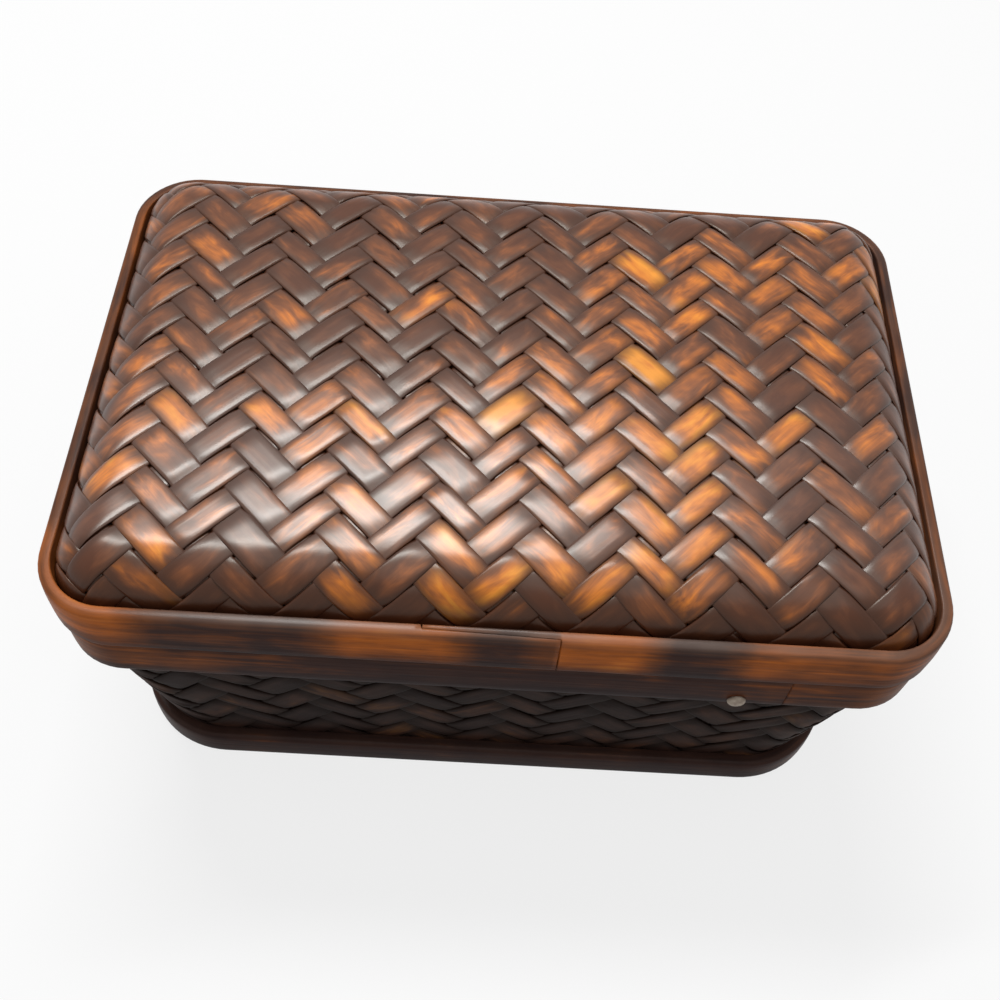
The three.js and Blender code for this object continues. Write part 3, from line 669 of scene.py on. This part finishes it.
lidWeave = {
    "pitch": 0.00568, "shiftX": 0.00198, "shiftY": 0.00336,
    "stripThick": 0.00055, "relief": 0.0003, "widthShare": 0.965, "stiffness": 2.4,
    "edgeJitter": 0.07, "widthJitter": 0.02, "shiftJitter": 0.02, "liftJitter": 0.00004,
    "sway": 0.02, "swayTurns": 0.35,
    "skirtClear": 0.0003, "grainStep": 0.1,
    "steps": 250, "seed": 11,
    "reach": 30, "samples": 1601, "edgeMargin": 0.02,
    "mostStrips": 40, "mostStretches": 400, "mostEdges": 60,
    "polishHeights": (pillowStart, pillowTop),
    "polish": (0.0, 0.8),
    "handledDepths": (-0.045, -0.034, -0.014, 0.0, 0.045),
    "handled": (0.2, 1.0, 1.0, 0.45, 0.2),
    # Below these heights the strips darken: painted shade in the groove between the pillow and the hoop
    "grooveHeights": (lidHoopHigh.z, lidHoopHigh.z + 0.0045),
    "groove": (0.1, 1.0),
    "toneMiddle": 0.36, "toneSpread": 0.24, "toneStrip": 0.03, "toneDrift": 0.04,
    "spots": [
        (0.003, 0.48, [
            (16, -19), (32, -11), (0, -11), (32, -19), (32, -27), (16, -27), (24, -39), (24, -15),
        ]),
        (0.003, 0.42, [(0, -43), (16, -43), (32, -43), (-8, -47), (-24, -47)]),
        (0.003, 0.3, [
            (8, -15), (-56, -47), (-24, -39), (8, -39), (48, -11), (-32, -43), (32, -35), (48, -43),
            (-56, -15), (-40, -15), (-24, -15), (-64, -27), (-72, -39), (32, 30), (24, 1), (16, 5),
            (48, 21), (56, 42), (-64, 30), (-64, 13), (-40, 9), (-24, 9), (-16, 13), (-8, 17),
            (-56, -7), (-24, -7), (64, 10), (72, 25), (40, 25), (24, 25), (-72, -23), (64, -14),
        ]),
        # The lifts at (25, -22), (-20, -30) and (8, -32) are amber strips and partly a painted sheen on
        # the front left
        (0.035, 0.04, [(25, -22)]),
        # The dips at the front, below y -40 mm, are dark strips and partly painted shade on the pillow's
        # front slope and in the groove under it
        (0.016, -0.12, [(38, -42)]),
        (0.018, 0.12, [(-20, -30), (8, -32)]),
        (0.010, -0.15, [(-30, -47), (-12, -49), (10, -49), (28, -49)]),
        (0.018, -0.12, [(-36, 2)]),
        (0.013, -0.4, [(-65, -55), (-45, -56), (-25, -58)]),
        (0.007, -0.25, [(50, -44), (8, -48)]),
        # The dips at the back and at the right end are painted shade
        (0.04, -0.16, [(-20, 50)]),
        (0.02, -0.08, [(74, -30), (74, 5)]),
    ],
}
lidStep = lidWeave["pitch"] * math.sqrt(0.5)
lidEdges = unevenEdges(lidWeave)
lidReach = edgeLength + pillowStart - lidHoopLow.z - lidWeave["skirtClear"]


# The lattice laid flat: column and row, made uneven, times half the diagonal of a cell
def lidFlat(column, row):
    column, row = unevenly(lidEdges, column, row)
    return column * lidStep + lidWeave["shiftX"], row * lidStep + lidWeave["shiftY"]


# Inside the mat: the distance past the core is less than the way over the pillow and down the skirt
def insideLid(x, y):
    return pastCore(x, y)[3] < lidReach


lidNumbers = np.arange(-lidWeave["mostStrips"], lidWeave["mostStrips"])
makeMat(
    "lid_weave", lidWeave, lidNumbers, spanBySamples(lidWeave, lidFlat, insideLid), lidFlat, onPillow,
    "lid", "tortoiseshell_bamboo", ["lid_weave"])

# Wall mat, with a whole number of repeats round the box and no polish

wallWeave = {
    **lidWeave,
    "pitch": 0.0061, "steps": 110, "seed": 23,
    "polish": (0.0, 0.0),
    "groove": (1.0, 1.0),
    "toneMiddle": 0.4, "toneSpread": 0.35, "toneStrip": 0.08, "toneDrift": 0.03,
    "spots": [],
}
wallMiddle = wallOutline((rimHoopLow.z + footHoopHigh.z) / 2, 0)
wallAround = lengthAround(wallMiddle)
wallStep = wallWeave["pitch"] * math.sqrt(0.5)
wallColumns = twillRepeat * round(wallAround / (twillRepeat * wallStep))


# The wall unrolled: distance round the outline at mid height, and height
def wallFlat(column, row):
    return column / wallColumns * wallAround, row * wallStep


# The place with the same walk on the wall's outline at its own height
def wallPlace(distance, z, depth):
    x, y, _, _ = outlinePoint(wallOutline(z, depth), walkRound(wallMiddle, distance))
    return x, y, z


# Distances at the mat's low and high edge: a row is the count less the distance for a falling strip, and
# the reverse for a rising one
def wallSpan(falling, side):
    low, high = wallMatLow.z / wallStep, wallMatHigh.z / wallStep
    return (side - high, side - low) if falling else (side + low, side + high)


makeMat(
    "wall_weave", wallWeave, np.arange(wallColumns // 2), wallSpan, wallFlat, wallPlace,
    "base", "dark_bamboo", ["base_wall_weave"])

# Floor mat, seen from below: the same weave turned over

floorWeave = {
    **wallWeave,
    "pitch": 0.009, "steps": 120, "seed": 37, "reach": 20, "mostStrips": 30,
}
floorOutline = footOutline(floorMatHigh.x)
floorStep = floorWeave["pitch"] * math.sqrt(0.5)


# Column runs the other way in a mat that is turned over
def floorFlat(column, row):
    return -column * floorStep, row * floorStep


def floorPlace(x, y, depth):
    return x, y, floorMatLow.z + depth


# Inside the rounded outline: the distance past its inner rectangle is less than its radius
def insideFloor(x, y):
    pastX = np.maximum(abs(x) - floorOutline["halfX"] + floorOutline["radius"], 0)
    pastY = np.maximum(abs(y) - floorOutline["halfY"] + floorOutline["radius"], 0)
    return np.hypot(pastX, pastY) < floorOutline["radius"]


floorNumbers = np.arange(-floorWeave["mostStrips"], floorWeave["mostStrips"])
makeMat(
    "floor_weave", floorWeave, floorNumbers, spanBySamples(floorWeave, floorFlat, insideFloor),
    floorFlat, floorPlace, "base", "dark_bamboo", ["base_floor_weave"])

# Bent hoops

# Points in each rounded corner of a band's section, and levels over its outer face
bandForm = {"cornerSteps": 4, "faceLevels": 7}


# Closed section of a band as depth behind its outer face and height: four rounded corners, and an outer
# face that swells by a parabola between its edges
def bandSection(thick, low, high, outerRound, innerRound, swell):
    quarter = np.linspace(0, math.pi / 2, bandForm["cornerSteps"])
    middle = (low + high) / 2
    depth, height = [], []
    for turn, (cornerDepth, cornerHeight, radius) in enumerate([
        (thick - innerRound, low + innerRound, innerRound),
        (outerRound, low + outerRound, outerRound),
        (outerRound, high - outerRound, outerRound),
        (thick - innerRound, high - innerRound, innerRound),
    ]):
        angle = quarter + turn * math.pi / 2
        depth.append(cornerDepth + radius * np.cos(angle))
        height.append(cornerHeight - radius * np.sin(angle))
        if turn == 1:
            rise = np.linspace(low + outerRound, high - outerRound, bandForm["faceLevels"])[1:-1]
            depth.append(np.zeros(len(rise)))
            height.append(rise)
    depth, height = np.concatenate(depth), np.concatenate(height)
    bulge = swell * ((height - middle) / (high - low) * 2) ** 2
    return depth + bulge * (depth < thick / 2), height


# A band that goes round an outline. Stations are distances from the middle of the front; depths of the
# section can be limited at each station, as in a half lap. Each point lies at the outline's point, moved
# inwards by its depth.
def sweepBand(outline, stations, section, frontDepth, backDepth, closed):
    depth, height = section
    x, y, outX, outY = outlinePoint(outline, walkRound(outline, stations))
    limited = np.clip(depth[None, :], frontDepth[:, None], backDepth[:, None])
    bandX = x[:, None] - outX[:, None] * limited
    bandY = y[:, None] - outY[:, None] * limited
    bandZ = np.broadcast_to(height[None, :], bandX.shape)
    faces = [gridFaces(len(stations), len(depth), closed, True)]
    if not closed:
        faces.append(endFaces(len(stations), len(depth)))
    grain = np.stack([np.broadcast_to(stations[:, None], bandX.shape), limited, bandZ], -1)
    return np.stack([bandX, bandY, bandZ], -1), faces, grain


hoopForm = {
    "lapLength": 0.022,
    "lapEndThick": 0.0007,
    "lapShoulder": 0.0002,
    "lapGap": 0.0001,
    "edgeRound": 0.0008,
    "innerRound": 0.0003,
    "swell": 0.00018,
    # Heights over which the painted highlight at the upper edge, and the pooled lacquer and painted shade
    # at the lower edge, fade
    "rubbedEdge": 0.0012,
    "pooledEdge": 0.006,
    "stationStep": 0.0015,
}


# Depths left in front and behind at distances along a hoop that laps over its own start: it starts thinned
# from the front, gets its full thickness past the lap, and ends thinned from the back
def lappedStations(outline, thick):
    around = lengthAround(outline)
    gap = hoopForm["lapGap"]
    lap, shoulder, endThick = hoopForm["lapLength"], hoopForm["lapShoulder"], hoopForm["lapEndThick"]
    knots = [0, lap, lap + gap, lap + gap + shoulder, around - gap - shoulder, around - gap, around + lap]
    front = [thick - endThick, endThick + gap, endThick + gap, 0, 0, 0, 0]
    back = [thick] * 5 + [thick - endThick - gap, endThick]
    even = np.arange(0, around + lap, hoopForm["stationStep"])
    stations = np.unique(np.concatenate([even, knots]))
    return stations, np.interp(stations, knots, front), np.interp(stations, knots, back)


# An amount along a hoop, such as its tone: places round it, from the middle of the front, with an amount
# for each
def alongHoop(stations, outline, stops):
    around = lengthAround(outline)
    places = np.mod(stations + around / 2, around) - around / 2
    return np.interp(places, [place for place, _ in stops], [amount for _, amount in stops])[:, None]


# A hoop's lower edge is darker: pooled lacquer, and painted shade along the seam below it. Its upper edge
# is made pale by a painted highlight. Both change evenly with the height over their own width.
def makeHoop(name, hoop, outlineAt, low, high, turned, body, node):
    thick, outline = hoop["thick"], outlineAt(high.x)
    stations, front, back = lappedStations(outline, thick)
    stations = hoop["lapEnd"] - hoopForm["lapLength"] + stations
    section = bandSection(
        thick, low.z, high.z, hoopForm["edgeRound"], hoopForm["innerRound"], hoopForm["swell"])
    points, faces, grain = sweepBand(outline, stations, section, front, back, False)
    tone = np.broadcast_to(alongHoop(stations, outline, hoop["tones"]), points.shape[:2])
    height = points[..., 2]
    # Painted highlight at the upper edge, and pooled lacquer with painted shade at the lower edge
    rubbed = np.clip((height - high.z) / hoopForm["rubbedEdge"] + 1, 0, 1)
    rubbed = rubbed * alongHoop(stations, outline, hoop["rubbed"])
    pooled = np.clip((height - low.z) / hoopForm["pooledEdge"], 0, 1)
    if turned:
        points = points * [-1, -1, 1]
    attributes = {
        "grain": grain.reshape(-1, 3),
        "tone": tone.ravel(),
        "edge": pooled.ravel(),
        "top": np.ones(tone.size),
        "polish": rubbed.ravel(),
    }
    makePiece(name, points, faces, attributes, body, "hoop_bamboo", [node])


lidHoop = {
    "thick": 0.0022,
    "lapEnd": 0.010,
    # How strong the painted highlight is along the upper edge, strongest at the front
    "rubbed": [
        (-0.24, 0.15), (-0.1, 0.15), (-0.06, 0.2), (-0.045, 0.4), (-0.03, 0.5), (0.02, 0.4),
        (0.05, 0.45), (0.075, 0.4), (0.1, 0.2), (0.24, 0.15),
    ],
    "tones": [
        (-0.24, 0.35), (-0.15, 0.5), (-0.10, 0.35), (-0.078, 0.66), (-0.062, 0.7), (-0.054, 0.34),
        (-0.032, 0.32), (-0.023, 0.72), (-0.009, 0.74), (-0.002, 0.34), (0.003, 0.3), (0.0075, 0.5),
        (0.0098, 0.52), (0.0102, 0.74), (0.022, 0.76), (0.029, 0.28), (0.035, 0.26), (0.042, 0.64),
        (0.054, 0.62), (0.074, 0.5), (0.10, 0.42), (0.15, 0.35), (0.20, 0.5), (0.24, 0.35),
    ],
}
makeHoop("lid_hoop_band", lidHoop, lidOutline, lidHoopLow, lidHoopHigh, False, "lid", "lid_outer_hoop")

rimHoop = {
    "thick": 0.0026,
    "lapEnd": 0.050,
    # How strong the painted highlight is along the upper edge
    "rubbed": [(-0.24, 0.18), (0.24, 0.18)],
    "tones": [
        (-0.24, 0.25), (-0.12, 0.3), (-0.074, 0.52), (-0.05, 0.44), (-0.03, 0.26), (0.0, 0.24),
        (0.03, 0.24), (0.045, 0.32), (0.06, 0.44), (0.075, 0.42), (0.12, 0.3), (0.24, 0.25),
    ],
}
makeHoop("rim_hoop_band", rimHoop, lidOutline, rimHoopLow, rimHoopHigh, False, "base", "base_rim_hoop")

# The foot hoop is turned half round, so that its lap is at the back
footHoop = {
    "thick": 0.0026,
    "lapEnd": 0.018,
    # How strong the painted highlight is along the upper edge
    "rubbed": [(-0.24, 0.12), (0.24, 0.12)],
    "tones": [(-0.24, 0.2), (-0.1, 0.24), (0.0, 0.16), (0.1, 0.24), (0.24, 0.2)],
}
makeHoop(
    "foot_hoop_band", footHoop, footOutline, footHoopLow, footHoopHigh, True, "base", "base_foot_hoop")

# Plain inner strips

innerStrips = {
    "edgeRound": 0.0003,
    "innerHoopThick": 0.0009,
    "collarThick": 0.0016,
    "ledgeThick": 0.003,
    "stationCount": 320,
}


# A closed band, full thick all round and with no swell
def makeInnerStrip(name, outlineAt, thick, low, high, body, node):
    outline, edge, count = outlineAt(high.x), innerStrips["edgeRound"], innerStrips["stationCount"]
    stations = np.arange(count) * lengthAround(outline) / count
    section = bandSection(thick, low.z, high.z, edge, edge, 0)
    front, back = np.zeros(len(stations)), np.full(len(stations), thick)
    points, faces, grain = sweepBand(outline, stations, section, front, back, True)
    makePiece(name, points, faces, {"grain": grain.reshape(-1, 3)}, body, "plain_bamboo", [node])


makeInnerStrip(
    "lid_inner_band", lidOutline, innerStrips["innerHoopThick"], innerHoopLow, innerHoopHigh,
    "lid", "lid_inner_hoop")
makeInnerStrip(
    "collar_band", lidOutline, innerStrips["collarThick"], collarLow, collarHigh,
    "base", "base_collar")
makeInnerStrip(
    "foot_ledge_band", footOutline, innerStrips["ledgeThick"], footLedgeLow, footLedgeHigh,
    "base", "base_foot_ledge")


# A piece made of rings laid over each other, closed at both ends by a face over the middle
def makeRinged(name, points, body, slot, node):
    rows, columns = points.shape[:2]
    faces = [gridFaces(rows, columns, False, True)[:, ::-1], endFaces(rows, columns)[:, ::-1]]
    makePiece(name, points, faces, {"grain": points.reshape(-1, 3)}, body, slot, [node])


# Liners

linerForm = {
    "sideSteps": 10, "cornerSteps": 12, "edgeSteps": 12,
    "topRings": 8, "topShare": 0.98, "topRound": 0.004,
    "wallRings": 6, "floorRound": 0.002, "floorSteps": 6,
}
linerWalk = evenWalk(linerForm["sideSteps"], linerForm["cornerSteps"])
linerDepth = boxForm["matThick"] + boxForm["seatGap"]
linerInner = linerDepth + boxForm["linerThick"]


# A ring of the pillow: the core's outline moved out, lifted by the crown. Its corners are never sharper
# than the top's own rounding.
def pillowRing(out, z):
    halfX, halfY = coreX + coreRadius + out, coreY + coreRadius + out
    radius = min(max(coreRadius + out, linerForm["topRound"]), halfY)
    outline = {"halfX": halfX, "halfY": halfY, "radius": radius}
    x, y, _, _ = outlinePoint(outline, linerWalk)
    return np.stack([x, y, z + crownLift(x, y)], -1)


# Rings of the pillow at a depth under its face, from the lip to near the top's middle
def pillowRings(depth):
    rings = []
    for angle in np.linspace(math.pi / 2, 0, linerForm["edgeSteps"]):
        out, down = edgePlace(angle, depth)
        rings.append(pillowRing(out, pillowTop - down))
    for share in np.linspace(0, linerForm["topShare"], linerForm["topRings"])[1:]:
        rings.append(pillowRing(-share * (coreY + coreRadius), pillowTop - depth))
    return rings


lidRings = pillowRings(linerInner)[::-1] + pillowRings(linerDepth)
makeRinged("lid_lining", np.stack(lidRings), "lid", "plain_bamboo", "lid_liner")


# A level ring at a height, a depth inside the wall's outer face at z
def trayRing(z, depth, height):
    x, y, _, _ = outlinePoint(wallOutline(z, depth), linerWalk)
    return np.stack([x, y, np.full(x.shape, height)], -1)


# Rings up the tray's outside, down its inner wall and round its inner bottom, a quarter circle
def trayRings():
    floorTop = trayLow.z + boxForm["linerThick"]
    radius = linerForm["floorRound"]
    heights = [trayLow.z, footHoopHigh.z, trayHigh.z]
    rings = [trayRing(z, linerDepth, z) for z in heights]
    for z in np.linspace(trayHigh.z, floorTop + radius, linerForm["wallRings"]):
        rings.append(trayRing(z, linerInner, z))
    for turn in np.linspace(0, math.pi / 2, linerForm["floorSteps"])[1:]:
        depth = linerInner + radius * (1 - math.cos(turn))
        rings.append(trayRing(floorTop, depth, floorTop + radius * (1 - math.sin(turn))))
    return rings


makeRinged("base_lining", np.stack(trayRings()), "base", "plain_bamboo", "base_liner")

# Pin: a domed head and a shank, turned about its axis. The profile is radius against distance out from
# the hoop, the dome a quarter of an ellipse made fuller by taking both its axes to a power below one.
pinForm = {
    "headRadius": 0.0016, "headHeight": 0.0008, "fullness": 0.75,
    "shankRadius": 0.0006, "shankLength": 0.0026, "poleRadius": 0.000001,
    "domeSteps": 8, "sides": 40,
}


# The profile turned about an axis that runs from front to back through the middle of the pin's box
def pinPoints():
    turn = np.linspace(0, math.pi / 2, pinForm["domeSteps"])
    shank, pole = pinForm["shankRadius"], pinForm["poleRadius"]
    dome = pinForm["headHeight"] * np.sin(turn) ** pinForm["fullness"]
    brim = pinForm["headRadius"] * np.cos(turn)[:-1] ** pinForm["fullness"]
    radius = np.concatenate([[pole, shank, shank], brim, [pole]])
    rise = np.concatenate([[-pinForm["shankLength"], -pinForm["shankLength"], 0], dome])
    angle = np.arange(pinForm["sides"]) * 2 * math.pi / pinForm["sides"]
    x = (pinLow.x + pinHigh.x) / 2 + radius[:, None] * np.cos(angle)[None, :]
    z = (pinLow.z + pinHigh.z) / 2 + radius[:, None] * np.sin(angle)[None, :]
    y = np.broadcast_to((-rimHoopHigh.y - rise)[:, None], x.shape)
    return np.stack([x, y, z], -1)


makeRinged("rim_pin", pinPoints(), "base", "pale_peg", "rim_hoop_pin")

# Camera, set at the photograph's viewing angle: height and sideways angle of the view, its roll, the
# distance to the point aimed at, and the lens
view = {
    "elevation": 56.15,
    "sideways": -2.38,
    "roll": 5.34,
    "aim": (0.00027, -0.00376, 0.04),
    "distance": 0.24283,
    "lens": 43.8,
    "nearest": 0.01,
}


# The camera lies back along a direction given by its two angles, and the picture's axes are turned about
# it by the roll
def makeCamera():
    elevation, sideways, roll = (math.radians(view[key]) for key in ("elevation", "sideways", "roll"))
    back = Vector((
        math.sin(sideways) * math.cos(elevation),
        -math.cos(sideways) * math.cos(elevation),
        math.sin(elevation),
    ))
    right = Vector((math.cos(sideways), math.sin(sideways), 0))
    up = back.cross(right)
    turnedRight = right * math.cos(roll) + up * math.sin(roll)
    turnedUp = up * math.cos(roll) - right * math.sin(roll)
    camera = bpy.data.objects.new("camera", bpy.data.cameras.new("camera"))
    camera.data.lens = view["lens"]
    camera.data.clip_start = view["nearest"]
    axes = Matrix((turnedRight, turnedUp, back)).transposed().to_4x4()
    camera.matrix_world = Matrix.Translation(Vector(view["aim"]) + back * view["distance"]) @ axes
    bpy.context.scene.collection.objects.link(camera)
    bpy.context.scene.camera = camera


makeCamera()
print("camera set")

# Studio: a white floor and world for what the camera and reflections see, soft lamps for the box. Each
# lamp has its name, place, width, height and power.
studio = {
    "white": (1, 1, 1, 1),
    "floorSize": 3.0, "floorShadow": 0.22,
    "floorGrey": (0.8, 0.8, 0.8, 1), "floorRoughness": 0.9, "floorSpecular": 0.1,
    "worldLight": 0.3,
    "lamps": [
        ("overhead", (0.1, -0.3, 1.3), 0.9, 0.9, 3.0),
        ("sheen", (-0.13, 0.284, 0.8), 0.46, 0.07, 5.4),
    ],
}


# One when a ray comes from the camera, a reflection or a clear surface
def plainRay(wire):
    path = wire.add("ShaderNodeLightPath", output="Is Camera Ray")
    node = path.socket.node
    glossy = Wire(wire.tree, node.outputs["Is Glossy Ray"])
    clear = Wire(wire.tree, node.outputs["Is Transmission Ray"])
    return wire.add(
        "ShaderNodeMath", {"operation": "ADD", "use_clamp": True}, {0: path + glossy, 1: clear})


# The floor is left out under the box, inside its foot, so that light reaches the underside. Its outer edge
# is the same ring grown to a square.
def makeFloor():
    x, y, _, _ = outlinePoint(footOutline(footHoopHigh.x - footHoop["thick"] / 2), linerWalk)
    grow = studio["floorSize"] / 2 / np.maximum(abs(x), abs(y))
    inner = np.stack([x, y, x * 0], -1)
    outer = np.stack([x * grow, y * grow, x * 0], -1)
    mesh = bpy.data.meshes.new("floor")
    faces = gridFaces(2, len(x), False, True)
    mesh.from_pydata(np.concatenate([inner, outer]).tolist(), [], faces.tolist())
    floor = bpy.data.objects.new("floor", mesh)
    bpy.context.scene.collection.objects.link(floor)
    mesh.materials.append(floorMaterial())


# White to the camera and to reflections, less a share that keeps the box's shadow, and clear from below
def floorMaterial():
    material, wire, shader = newMaterial("studio_floor", {
        "Base Color": studio["floorGrey"],
        "Roughness": studio["floorRoughness"],
        "Specular IOR Level": studio["floorSpecular"],
    })
    glow = wire.add("ShaderNodeEmission", {}, {"Color": studio["white"], "Strength": 1})
    factor = plainRay(wire) * (1 - studio["floorShadow"])
    fromAbove = wire.add("ShaderNodeMixShader", {}, {
        0: factor, 1: Wire(wire.tree, shader.outputs[0]), 2: glow,
    })
    clear = wire.add("ShaderNodeBsdfTransparent")
    below = wire.add("ShaderNodeNewGeometry", output="Backfacing")
    mixed = wire.add("ShaderNodeMixShader", {}, {0: below, 1: fromAbove, 2: clear})
    feed(wire.tree.nodes["Material Output"], "Surface", mixed)
    return material


# White at full strength to the same rays, and a dim light on the box
def makeWorld():
    world = bpy.data.worlds.new("studio")
    bpy.context.scene.world = world
    world.use_nodes = True
    ground = world.node_tree.nodes["Background"]
    ground.inputs["Color"].default_value = studio["white"]
    strength = plainRay(Wire(world.node_tree)) * (1 - studio["worldLight"]) + studio["worldLight"]
    feed(ground, "Strength", strength)


# Rectangular lamps, each turned towards the middle of the lid
def makeLamps():
    for name, place, width, height, power in studio["lamps"]:
        light = bpy.data.lights.new(name, "AREA")
        light.shape = "RECTANGLE"
        light.size, light.size_y = width, height
        light.energy = power
        lamp = bpy.data.objects.new(name, light)
        lamp.location = place
        lamp.rotation_mode = "QUATERNION"
        aim = Vector((0, 0, lidHoopHigh.z)) - Vector(place)
        lamp.rotation_quaternion = aim.to_track_quat("-Z", "Y")
        bpy.context.scene.collection.objects.link(lamp)


makeFloor()
makeWorld()
makeLamps()
bpy.context.scene.view_settings.view_transform = "Standard"
print("studio lit")

print("scene done")
